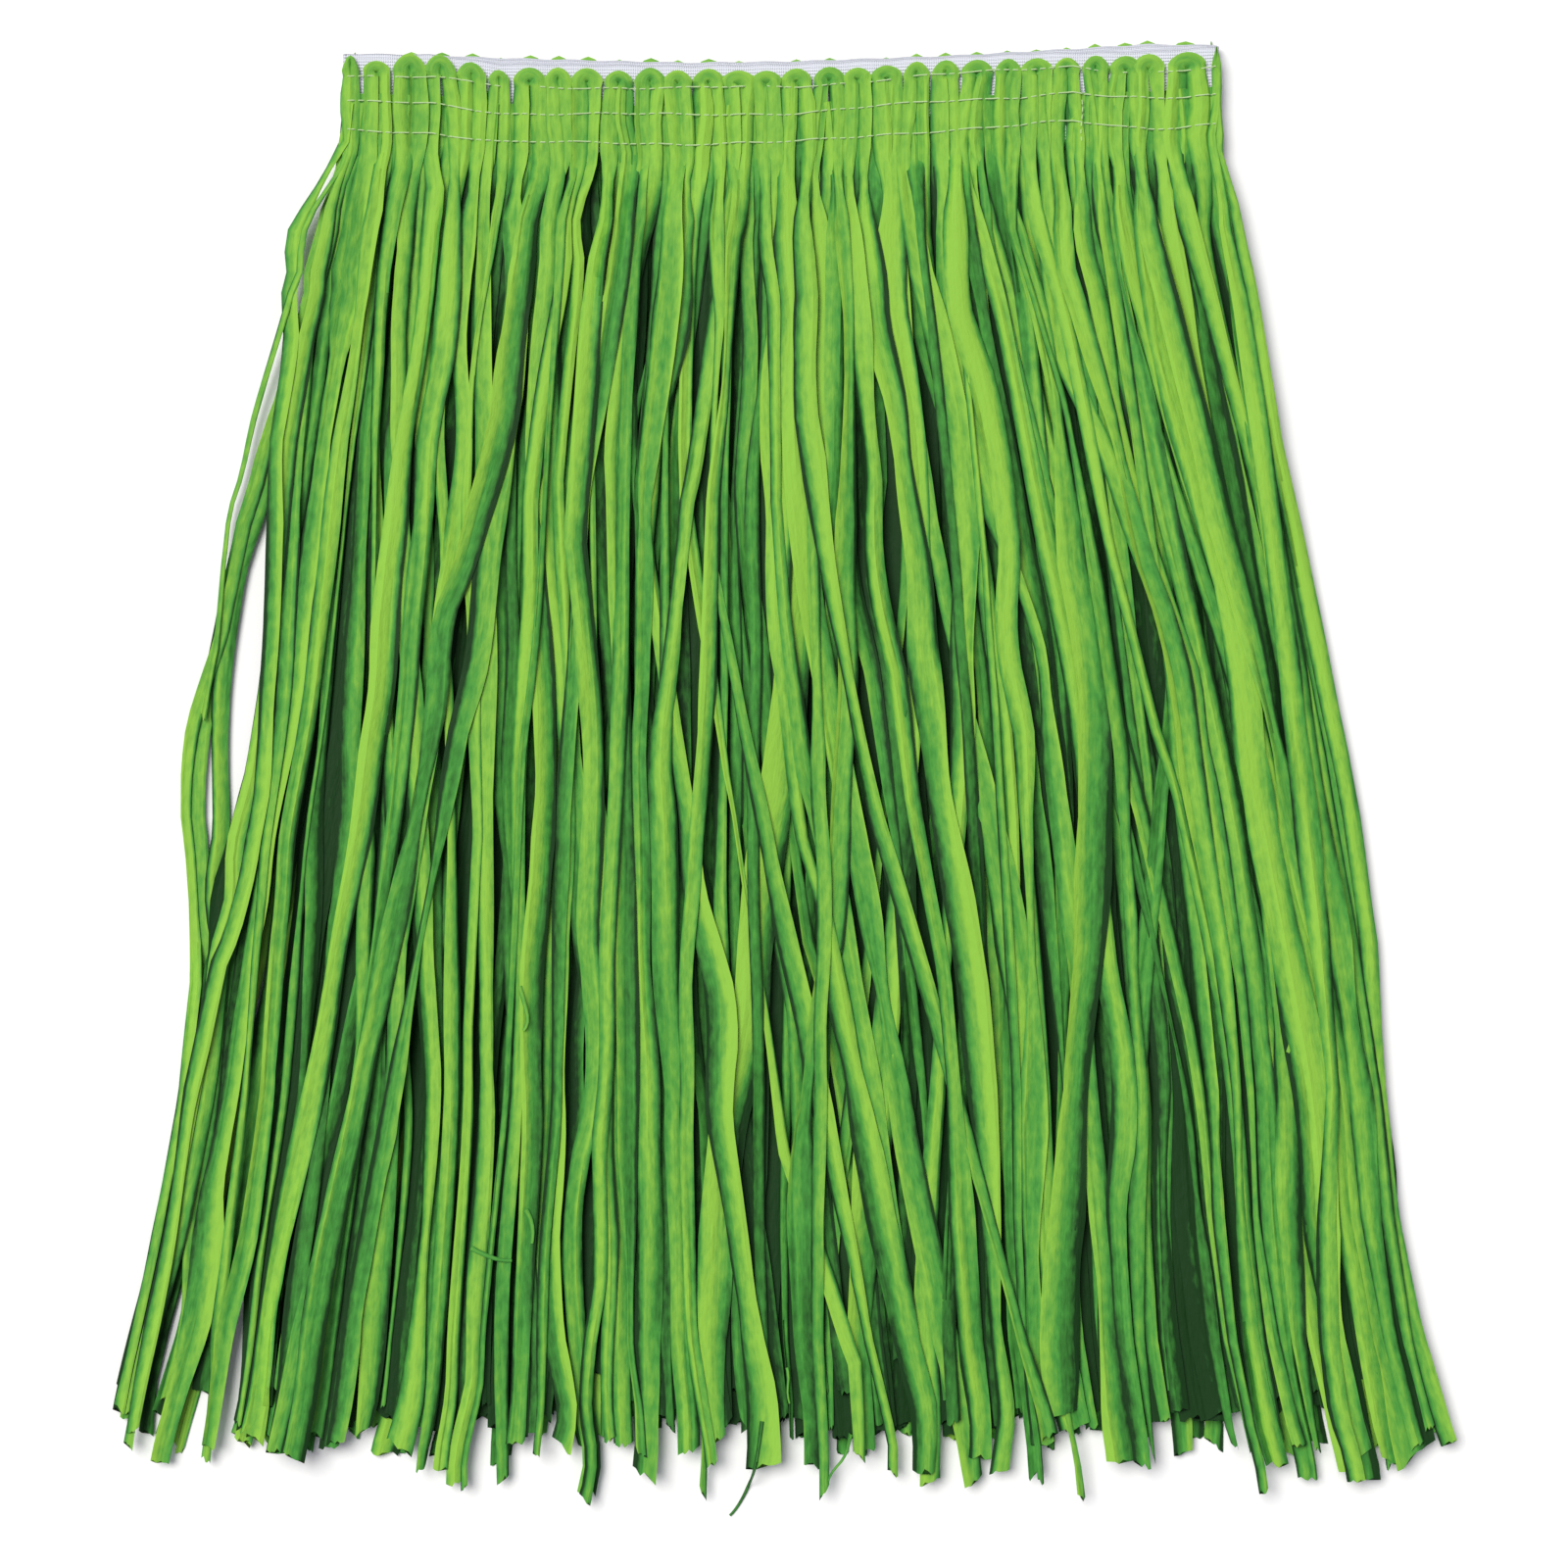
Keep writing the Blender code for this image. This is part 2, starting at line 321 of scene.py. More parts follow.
def lay_stretch(heap, item, first, last):
    """Lay some rings of a leg on the heap: it bridges short gaps, and bends over what it meets."""
    reach = min(last + BRIDGE, len(item.base))
    relief = item.leg.relief[first:reach]
    below = heap.under(filled(item.across[first:reach]), filled(item.drop[first:reach]))
    ground = highest_near(below) + PAPER / 2.0 + CLEAR
    ranked = np.sort(ground - relief, axis=1)
    needed = item.base.copy()
    needed[first:reach] = np.maximum(ranked[:, -PROPS], item.lowest[first:reach])
    start = max(first - 2 * BRIDGE, 0)
    bridged = slide(slide(needed[start:reach], BRIDGE, np.max), BRIDGE, np.min)
    item.base[first:last] = eased(bridged, 3)[first - start:last - start]
    pinned = item.leg.pinned[first:last]
    base = pinned * item.pin + (1.0 - pinned) * item.base[first:last]
    height = base[:, None] + relief[:last - first]
    lift = np.maximum(ground[:last - first] - height, 0.0)
    lift = np.stack([eased(slide(column, 1, np.max), 1) for column in lift.T], axis=1)
    height += (1.0 - pinned)[:, None] * lift
    item.height[first:last] = np.maximum(height, PAPER / 2.0 + FLOOR)
    top = max(first - 1, 0)
    heap.cover(filled(item.across[top:last]), filled(item.drop[top:last]),
               filled(item.height[top:last]) + PAPER / 2.0)


STRETCH = 48.0                       # how much of each leg is laid before the next stretch is begun
STRETCHES = 14
TOUCH = 2.0                          # strips this close count as lying on each other
FAR = 1e9                            # where a strip counts as being past its cut end


def keep_apart(planned, stretch):
    """Strips that lie on each other where a stretch begins stay in the order they had before it."""
    drop = stretch * STRETCH
    centre = np.array([np.interp(drop, item.leg.drop, item.leg.across, right=FAR) for item in planned])
    half = np.array([np.interp(drop, item.leg.drop, item.leg.width) for item in planned]) / 2.0
    before = np.array([item.order[stretch - 1] for item in planned])
    for number in np.argsort(before):
        touching = np.abs(centre - centre[number]) < half + half[number] + TOUCH
        below = [planned[k].order[stretch] for k in np.flatnonzero(touching & (before < before[number]))]
        order = planned[number].order
        order[stretch] = max([order[stretch]] + [value + 1e-6 for value in below])


def weave(heap, planned):
    """Lay legs together, stretch by stretch, so that each goes over some and under others."""
    for stretch in range(STRETCHES):
        if stretch > 0:
            keep_apart(planned, stretch)
        for item in sorted(planned, key=lambda item: item.order[stretch]):
            first, last = np.searchsorted(item.leg.drop, (stretch * STRETCH, (stretch + 1) * STRETCH))
            if first < last:
                lay_stretch(heap, item, first, last)
    return [settled(item) for item in planned]


# ---------------------------------------------------------------- the shape of one strip

def drifting(count, spread, keep):
    """A wandering series that keeps a share of its last value at each step."""
    values = np.empty(count)
    value = rng.normal(0.0, spread)
    for k in range(count):
        values[k] = value
        value = keep * value + math.sqrt(1.0 - keep * keep) * rng.normal(0.0, spread)
    return values


def bends(length, shortest, longest):
    """Uneven places along a strip where it may bend."""
    places = [0.0]
    while places[-1] < length:
        places.append(places[-1] + rng.uniform(shortest, longest))
    return np.array(places)


def between(along, places, values):
    """Columns of values given at some places along a strip, read at all its rings."""
    return np.stack([np.interp(along, places, column) for column in values.T], axis=1)


EVEN = np.linspace(-1.0, 1.0, LINES)


def line_places(along):
    """Where the lines along a strip run, from -1 at one edge to 1 at the other, with nicks in its edges."""
    places = bends(along[-1], 40.0, 110.0)
    drift = rng.uniform(-0.12, 0.12, (len(places), LINES))
    drift[:, 0] = drift[:, -1] = 0.0
    spread = EVEN + between(along, places, drift)
    nicks = bends(along[-1], 14.0, 45.0)
    for edge in (0, -1):
        spread[:, edge] *= np.interp(along, nicks, np.clip(rng.normal(1.0, 0.1, len(nicks)), 0.8, 1.12))
    return spread


def folds(along, steep):
    """Lengthwise folds: the height of each line of a strip a millimetre wide, turning as it goes down."""
    places = bends(along[-1], 30.0, 85.0)
    slopes = np.empty((len(places), LINES - 1))
    state = rng.normal(0.0, 1.0, LINES - 1)
    for k in range(len(places)):
        slopes[k] = state
        state = 0.75 * state + 0.66 * rng.normal(0.0, 1.0, LINES - 1)
    for k in range(1, LINES - 1):
        slopes[:, k] = 0.72 * slopes[:, k - 1] + 0.69 * slopes[:, k]
    slope = between(along, places, slopes)
    heights = np.concatenate((np.zeros((len(along), 1)), np.cumsum(slope, axis=1)), axis=1) / (LINES - 1)
    heights -= heights.mean(axis=1, keepdims=True)
    tilt = (heights * EVEN).sum(axis=1, keepdims=True) / (EVEN * EVEN).sum()
    return steep * (heights - 0.55 * tilt * EVEN)


def swell(along, flaring):
    """How the width of a strip comes and goes, with a narrow twist here and there."""
    places = bends(along[-1], 50.0, 130.0)
    share = np.interp(along, places, rng.normal(1.0, 0.34, len(places)))
    for _ in range(rng.poisson(0.7)):
        twist = rng.uniform(90.0, 560.0)
        share *= 1.0 - rng.uniform(0.3, 0.6) * np.exp(-((along - twist) / rng.uniform(14.0, 40.0)) ** 2)
    flare = flaring * rng.uniform(-0.3, 0.2) * smooth((along - along[-1] + 90.0) / 90.0)
    return np.clip(share, 0.35, 1.4) * (1.0 + flare)


Leg = namedtuple("Leg", "across drop width relief lines pinned")
HEADING_RINGS = (8.2, 11.5, 15.5, 19.6, 23.5, 28.0, 32.0, 36.0, 41.0, 48.0, 56.0, 66.0)
STEP = 9.0                           # from ring to ring, below the heading
PUFF = 0.4                           # how far the pleats puff out between the rows of stitches
DEEPEST = 3.0                        # folds much deeper than this are pressed flatter
PINCH, PINCH_DROP, PINCH_LENGTH = 0.6, 16.0, 14.0    # how strips are drawn in just below the heading
TILT = 0.22                          # how far a loose strip leans to one side
CURL, PLEAT_CURL = 0.45, 0.35        # how far edges turn down, on a loose strip and in the heading
PLEAT_STEEP = 0.42


def make_leg(layer, route, end_drop, width, steep, gathered, first_ring=0, neck=None):
    """One hanging end of a strip, from the foot of its loop down to its cut end."""
    below = np.arange(HEADING_RINGS[-1] + STEP, end_drop - 4.0, STEP)
    drop = np.concatenate((HEADING_RINGS[first_ring:], below, (end_drop,)))
    free = np.maximum(drop - HEADING_DROP, 0.0)
    opening = smooth(free / rng.uniform(40.0, 120.0))
    pleat = gathered * (1.0 + np.interp(drop, np.arange(0.0, 90.0, 15.0), drifting(6, 0.1, 0.3)))
    if neck is not None:
        pleat = neck + (pleat - neck) * smooth((drop - HEADING_RINGS[0]) / 8.0)
    width_line = pleat * (1.0 - opening) + width * swell(free, float(neck is not None)) * opening
    width_line *= 1.0 - rng.uniform(0.0, PINCH) * np.exp(-((free - PINCH_DROP) / PINCH_LENGTH) ** 2)
    places = line_places(free)
    tilt = np.interp(free, np.arange(0.0, 700.0, 100.0), drifting(7, TILT, 0.5))
    loosened = smooth(free / 40.0)[:, None]
    loose = (folds(free, steep) + 0.5 * places * tilt[:, None]) * width_line[:, None]
    deep = loose.max(axis=1) - loose.min(axis=1)
    loose *= (DEEPEST / (DEEPEST + 0.5 * deep))[:, None]
    loose -= CURL * np.abs(places) ** 4
    shingle = rng.uniform(0.2, 0.45) * places
    tight = folds(free, PLEAT_STEEP) * width_line[:, None] + shingle - PLEAT_CURL * np.abs(places) ** 5
    between_rows = 1.0 - np.cos(2.0 * np.pi * (drop - ROWS[0]) / (ROWS[1] - ROWS[0]))
    tight += (PUFF / 2.0 * between_rows * (drop < ROWS[2] + 0.1))[:, None]
    relief = tight + (loose - tight) * loosened
    sway = np.interp(drop, np.arange(8.0, 80.0, 14.0), np.append(0.0, drifting(5, 0.7, 0.5)))
    sway += rng.normal(0.0, 0.05) * np.clip(drop - HEADING_RINGS[0], 0.0, 28.0)
    across = parted(layer, route(drop) + sway, drop, width_line / 2.0)
    return Leg(across, drop, width_line, relief, places, 1.0 - smooth(free / 26.0))


def fan_edges(side, drop):
    """Where the outermost strips of the body run, left and right."""
    return read_table(FAN, drop, side + "_left"), read_table(FAN, drop, side + "_right")


def fan_route(side, share, gather, lean, wander, flow=0.0):
    """The way of a strip down the skirt: its place in the fan, which gather shifts, a lean, and bends."""
    left, right = fan_edges(side, 0.0)
    start = left * (1.0 - share) + right * share
    sweep = [flow * read_table(FLOW, start, "at_%d" % drop) for drop in FLOW_DROPS]
    sweep_drops = np.array(FLOW_DROPS) + rng.uniform(-40.0, 40.0, len(FLOW_DROPS))
    places = bends(680.0, 90.0, 300.0)
    offsets = drifting(len(places), wander, 0.3)

    def route(drop):
        free = np.maximum(drop - HEADING_DROP, 0.0)
        at = share + gather * smooth(free / 90.0) + lean * smooth((drop - 40.0) / 560.0)
        left, right = fan_edges(side, drop)
        across = left + (right - left) * at + smooth(free / 120.0) * np.interp(free, places, offsets)
        across += np.interp(drop, np.append(40.0, sweep_drops), np.append(0.0, sweep))
        return np.clip(across, left, right)
    return route


def hand_route(points):
    """A way of a strip given as pairs of a drop and a place across."""
    return lambda drop: np.interp(drop, *zip(*points))


def plan(across, drop, width, lines):
    """The grid of a strip's points seen from above, from its middle line and its widths."""
    way_across = np.gradient(across)
    way_down = np.gradient(drop)
    size = np.hypot(way_across, way_down)
    half = (width / 2.0)[:, None] * lines
    return (across[:, None] + (way_down / size)[:, None] * half,
            drop[:, None] - (way_across / size)[:, None] * half)


def near_edge(across, drop):
    """The heap of strips thins out towards its two sides."""
    left, right = fan_edges("front", drop)
    inside = np.minimum(across - left, right - across)
    in_body = smooth((drop - 45.0) / 60.0)
    return 1.0 - 0.6 * in_body * (1.0 - smooth((inside + 8.0) / 50.0))


Strip = namedtuple("Strip", "across drop height lines tone crest")
RAGGED = 1.3                         # how far the notches of a cut end reach
# How far a strip's tone drifts along it: painted shade of its twists.
TWIST_SHADE = 0.11
HEADING_TONE = 0.9                   # the tone that all strips come near in the heading
PALE_SIDE, PALE_LIFT = -200.0, 0.28  # left of this, low down, the strips are paler by so much


def cut_end(drop, lines):
    """Slant and notch the last ring of a strip, as scissors and wear leave it."""
    last = rng.normal(0.0, 1.6) * lines[-1] + rng.uniform(-RAGGED, RAGGED, lines.shape[1])
    drop[-1] += last
    drop[-2] += 0.3 * last


def tone_along(drop, tone):
    """A strip's tone, which drifts along it as painted shade of its twists, and darkens on the way down as
    painted shade.
    """
    places = bends(drop[-1], 45.0, 130.0)
    fall = 0.08 + 0.16 * smooth((drop - 100.0) / 330.0) + 0.09 * smooth((drop - 450.0) / 90.0)
    return np.interp(drop, places, tone + drifting(len(places), TWIST_SHADE, 0.4)) - fall


def plan_leg(layer, leg, pin, tone, rank=0.0):
    """Where a leg goes, and how high in the heap it wants to lie."""
    across, drop = plan(leg.across, leg.drop, leg.width, leg.lines)
    cut_end(drop, leg.lines)
    drop = drop + waist_dip(side_of(layer), across, drop)
    lowest = read_table(STACK, leg.drop, layer) * near_edge(leg.across, leg.drop)
    tones = tone_along(leg.drop, tone)
    tones += PALE_LIFT * smooth((PALE_SIDE - leg.across) / 30.0) * smooth((leg.drop - 250.0) / 60.0)
    held = 0.75 if layer.endswith("outer") else 0.55
    tones += held * leg.pinned * (HEADING_TONE - tones)
    order = rank + drifting(STRETCHES, 1.0, 0.9)
    order[1] = order[0]
    return Planned(leg, across, drop, lowest, pin, tones, order, lowest.copy(), np.zeros(across.shape))


FOLD_HIGHLIGHT, EDGE_SHADE = 1.15, 0.8     # painted highlight: how much paler raised folds are; painted shade: how much darker the edges


def settled(item):
    """A laid leg as a strip, with the steps between its stretches eased into long slopes."""
    leg = item.leg
    change = (1.0 - leg.pinned) * (eased(item.base, 10) - item.base)
    height = np.maximum(item.height + change[:, None], PAPER / 2.0 + FLOOR)
    # Painted shading: raised folds are painted paler and the edges darker, the lower edge of a tilted strip
    # most, with less of it in the heading.
    fall = np.clip(leg.relief[:, :1] - leg.relief[:, -1:], -1.0, 1.0)
    crest = FOLD_HIGHLIGHT * (leg.relief - leg.relief.mean(axis=1, keepdims=True))
    crest -= EDGE_SHADE * (1.0 + fall * leg.lines) * np.abs(leg.lines) ** 3
    crest *= (1.0 - 0.4 * leg.pinned)[:, None]
    return Strip(item.across, item.drop, height, leg.lines, item.tone, crest)


ARCH = 9                             # rings in a loop


def loop_over(heap, side, first, second, pin, rise, neck):
    """The loop that joins two legs over the tape: a dome, with the strip's two edges meeting inside it."""
    turn = np.linspace(0.0, np.pi, ARCH)
    start, end = first.across[0].mean(), second.across[0].mean()
    radius = abs(end - start) / 2.0
    foot = HEADING_RINGS[0] - 2.4
    reach = max(foot - radius - 0.1 + rise, 1.0)
    across = (start + end) / 2.0 - radius * np.cos(turn)
    down = foot - reach * np.sin(turn)
    width = 2.0 * radius - 0.5 + (neck - 2.0 * radius + 0.5) * np.abs(np.cos(turn)) ** 7
    lines = np.tile(EVEN, (ARCH, 1))
    grid_across, grid_drop = plan(across, down, width, lines)
    grid_drop = grid_drop + waist_dip(side, grid_across, grid_drop)
    crown = 0.45 - 0.75 * np.abs(lines - 0.25) ** 3 + rng.normal(0.0, 0.1, lines.shape)
    height = np.maximum(pin + crown, PAPER)
    heap.cover(filled(grid_across), filled(grid_drop), filled(height) + PAPER / 2.0)
    tone = np.interp(turn, (0.0, np.pi), (first.tone[0], second.tone[0]))
    # Painted shade: the loop is painted darker towards its inner, lower edge.
    return Strip(grid_across, grid_drop, height, lines, tone, 0.45 * lines - 0.3)


def joined(first, arch, second):
    """One strip made of a leg going up, a loop, and a leg coming down."""
    first = first._replace(lines=-first.lines)
    up = [value[::-1] if value.ndim == 1 else value[::-1, ::-1] for value in first]
    return Strip(*[np.concatenate(parts) for parts in zip(up, arch, second)])


# ---------------------------------------------------------------- making the meshes

def world(across, drop, height):
    return Vector((MIDDLE_X + across * MM, LOOP_LINE_Y - drop * MM, height * MM))


def add_object(name, data):
    """A mesh, a lamp or a camera as an object of the scene."""
    made = bpy.data.objects.new(name, data)
    bpy.context.scene.collection.objects.link(made)
    return made


def mesh_object(name, bm, material):
    mesh = bpy.data.meshes.new(name)
    bm.to_mesh(mesh)
    bm.free()
    mesh.materials.append(material)
    return add_object(name, mesh)


def finish_mesh(name, bm, material, sharp=None):
    """Turn a modelled shape into a piece of the skirt, its faces pointing out."""
    if bm.calc_volume(signed=True) < 0.0:
        bmesh.ops.reverse_faces(bm, faces=bm.faces)
    piece = mesh_object(name, bm, material)
    piece.data.shade_smooth()
    if sharp is not None:
        piece.data.set_sharp_from_angle(angle=sharp)
    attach(piece, "root")
    return piece


SHARP = math.radians(22.0)
NEXT_STRIP, NEXT_FACE = 0.37, 0.11   # how far the finish shifts from strip to strip, and to the underside


def make_strips(name, strips, material):
    """One mesh of many strips: each is a grid rolled into a thin flat sleeve of paper, its ends closed."""
    bm = bmesh.new()
    lay = bm.verts.layers.float_vector.new("lay")
    tone_and_shade = bm.verts.layers.float_vector.new("tone_and_shade")
    bake = bm.loops.layers.uv.new("OFBake")
    seams = {}
    for number, strip in enumerate(strips):
        rings, lines = strip.across.shape
        around = 2 * lines
        steps = np.hypot(np.gradient(strip.across[:, lines // 2]), np.gradient(strip.drop[:, lines // 2]))
        along = np.cumsum(steps)
        half_sheet = PAPER / 2.0 * (1.0 - 0.5 * np.minimum(np.abs(strip.lines), 1.0) ** 6)
        width = np.hypot(strip.across[:, -1] - strip.across[:, 0], strip.drop[:, -1] - strip.drop[:, 0])
        made = bmesh.ops.create_grid(
            bm, x_segments=around, y_segments=rings - 1, size=0.5, calc_uvs=True)["verts"]
        for index, point in enumerate(made):
            ring, place = divmod(index, around + 1)
            place %= around
            upper = place < lines
            line = place if upper else around - 1 - place
            sheet = half_sheet[ring, line] if upper else -half_sheet[ring, line]
            point.co = world(strip.across[ring, line], strip.drop[ring, line],
                             strip.height[ring, line] + sheet)
            beside = strip.lines[ring, line] * width[ring] / 2.0
            shift = number * NEXT_STRIP + (0.0 if upper else NEXT_FACE)
            point[lay] = (beside * MM, along[ring] * MM, shift)
            # This attribute holds the strip's tone, which carries painted shade, and the painted light and
            # shade of its folds and edges.
            point[tone_and_shade] = (strip.tone[ring], strip.crest[ring, line], 0.0)
        for face in {face for point in made for face in point.link_faces}:
            for corner in face.loops:
                spot = corner[bake].uv
                corner[bake].uv = ((number + 0.03 + 0.94 * spot.x) / len(strips), 0.01 + 0.98 * spot.y)
        seams.update(zip(made[around::around + 1], made[::around + 1]))
    bmesh.ops.weld_verts(bm, targetmap=seams)
    rims = [edge for edge in bm.edges if edge.is_boundary]
    bmesh.ops.holes_fill(bm, edges=rims, sides=0)
    return finish_mesh(name, bm, material, SHARP)


def ring_of_tape(radius):
    """Points round the flattened ring of tape: how far across, and how far over its middle."""
    straight = WAIST_WIDTH / 2.0 - TAPE_INSET
    points = []
    for sign in (1.0, -1.0):
        for place in np.linspace(-straight, straight, 188):
            points.append((sign * place, sign * radius))
        for turn in np.linspace(0.0, np.pi, 9)[1:-1]:
            points.append((sign * (straight + radius * math.sin(turn)), sign * radius * math.cos(turn)))
    return points


def make_tape(material):
    """The elastic: a grid rolled round the ring and round the wall, puckered where it is sewn."""
    bm = bmesh.new()
    lay = bm.verts.layers.float_vector.new("lay")
    middle = (tape_low.z + tape_high.z) / 2.0 / MM
    outer = (tape_high.z - tape_low.z) / 2.0 / MM - 0.02
    down_face = np.linspace(0.3, TAPE_HEIGHT - 0.3, 9)
    wall = [(0.0, down) for down in down_face] + [(0.5, TAPE_HEIGHT)]
    wall += [(1.0, down) for down in down_face[::-1]] + [(0.5, 0.0)]
    rings = {share: ring_of_tape(outer - share * TAPE_WALL) for share in (0.0, 0.5, 1.0)}
    around = len(rings[0.0])
    bmesh.ops.create_grid(bm, x_segments=around, y_segments=len(wall), size=0.5)
    phases = rng.uniform(0.0, 2.0 * math.pi, 3)
    for point in bm.verts:
        share, down = wall[round((point.co.y + 0.5) * len(wall)) % len(wall)]
        step = round((point.co.x + 0.5) * around) % around
        across, over = rings[share][step]
        pucker = 0.12 * math.sin(across / 2.1 + phases[0]) + 0.08 * math.sin(across / 0.9 + phases[1])
        height = over * (1.0 - (0.2 + pucker) * 0.4 * math.cos(0.2 * down) ** 2 / outer)
        front_share = (over / outer + 1.0) / 2.0
        dip = float(read_table(WAIST_DIP, across, "front")) * front_share
        dip += float(read_table(WAIST_DIP, across, "back")) * (1.0 - front_share)
        frill = 0.22 * math.sin(across / 3.3 + phases[2]) * (down < 1.0)
        point.co = world(across, down + dip - TAPE_RISE + frill, middle + height)
        point[lay] = (step * 2.0 * MM, down * MM, share)
    bmesh.ops.remove_doubles(bm, verts=bm.verts, dist=1e-7)
    bmesh.ops.recalc_face_normals(bm, faces=bm.faces)
    return finish_mesh("waist_elastic", bm, material)


STITCH = 3.9                         # length of a stitch
THREAD, DIVED = 0.52, 0.35           # width of the thread, on top and where it dives
DIVE = 1.4                           # how deep the thread dives between stitches
LAP_SEAM = (129.0, 19.0, 38.0)       # across, and from which drop to which


def sewing_line(side, row, across):
    """The drop of a row of stitches, which wavers and climbs a little on its way."""
    waver = 0.45 * np.sin(across / 17.0 + 2.0 * row) + 0.3 * np.sin(across / 5.3 + row)
    return ROWS[row] + waist_dip(side, across, ROWS[row]) - read_table(SEWING, across, "rise") + waver


def thread_height(heap, across, drop):
    """The thread bridges the creases between the pleats."""
    reach = np.arange(-2.8, 2.9, 0.7)
    near = heap.under(across[:, None] + reach, drop[:, None] + 0.0 * reach)
    return eased(np.percentile(near, 70, axis=1), 1)


def thread_line(across, drop, height, dives):
    """A thread along a line: it lies on top in stitches and dives through the tape between them."""
    places = np.tile(np.linspace(-1.0, 1.0, 3), (len(across), 1))
    grid_across, grid_drop = plan(across, drop, np.where(dives, DIVED, THREAD), places)
    grid_height = (height + np.where(dives, -DIVE, 0.0))[:, None] + 0.14 * (1.0 - np.abs(places))
    return Strip(grid_across, grid_drop, grid_height, places, np.ones(len(across)), grid_height)


def lay_thread(heap):
    """The three rows of machine stitches on both sides, and the short seam that laps the tape."""
    steps = np.arange(-186.0, 186.5, STITCH / 4.0)
    dives = (np.arange(len(steps)) % 4 == 0) & (rng.uniform(size=len(steps)) < 0.75)
    threads = []
    for row in range(len(ROWS)):
        drop = sewing_line("front", row, steps)
        threads.append(thread_line(steps, drop, thread_height(heap, steps, drop) + 0.1, dives))
        drop = sewing_line("back", row, steps)
        low = np.full(len(steps), PAPER / 2.0 + 0.06)
        threads.append(thread_line(steps, drop, low, np.zeros(len(steps), dtype=bool)))
    drop = np.arange(LAP_SEAM[1], LAP_SEAM[2], STITCH / 5.0)
    across = LAP_SEAM[0] + 0.3 * np.sin(drop / 3.0)
    height = thread_height(heap, across, drop) + 0.1
    threads.append(thread_line(across, drop, height, np.arange(len(drop)) % 4 == 0))
    return threads


# ---------------------------------------------------------------- finishes

def nodes_of(owner):
    """The emptied node tree of a material or of the world."""
    owner.use_nodes = True
    owner.node_tree.nodes.clear()
    return owner.node_tree


def add(tree, kind, inputs=(), **settings):
    """A node with its settings; each input is fed by a socket or set to a number or a colour."""
    node = tree.nodes.new(kind)
    for name, value in settings.items():
        setattr(node, name, value)
    for name, value in dict(inputs).items():
        socket = node.inputs[name]
        if isinstance(value, bpy.types.NodeSocket):
            tree.links.new(value, socket)
        else:
            socket.default_value = (*value, 1.0) if socket.type == "RGBA" else value
    return node


def math_node(tree, operation, *values):
    return add(tree, "ShaderNodeMath", dict(enumerate(values)), operation=operation).outputs[0]


def noise(tree, vector, scale, stretch, detail):
    """Noise drawn out by a stretch for each direction."""
    place = add(tree, "ShaderNodeMapping", {"Vector": vector, "Scale": stretch}).outputs["Vector"]
    inputs = {"Vector": place, "Scale": scale, "Detail": detail}
    return add(tree, "ShaderNodeTexNoise", inputs).outputs["Fac"]


def wave(tree, vector, direction, scale, distortion):
    """Fine even bands across one direction."""
    inputs = {"Vector": vector, "Scale": scale, "Distortion": distortion}
    return add(tree, "ShaderNodeTexWave", inputs, bands_direction=direction).outputs["Fac"]


def spread_out(tree, value, low, high, kind):
    """A value brought from between low and high to between nought and one."""
    inputs = {"Value": value, "From Min": low, "From Max": high}
    return add(tree, "ShaderNodeMapRange", inputs, interpolation_type=kind).outputs["Result"]


def mixed(tree, share, first, second):
    """A mix of two colours, each a socket or three numbers."""
    inputs = {"Factor": share, "A": first, "B": second}
    return add(tree, "ShaderNodeMix", inputs, data_type="RGBA").outputs["Result"]


def finish_material(tree, colour, height, bump_distance, inputs, bump_strength=1.0):
    """The Principled shader of a finish, with its bump, led to the output."""
    bump = add(tree, "ShaderNodeBump", {
        "Strength": bump_strength, "Distance": bump_distance, "Height": height}).outputs["Normal"]
    shader = add(tree, "ShaderNodeBsdfPrincipled", {"Base Color": colour, "Normal": bump, **inputs})
    add(tree, "ShaderNodeOutputMaterial", {"Surface": shader.outputs["BSDF"]})


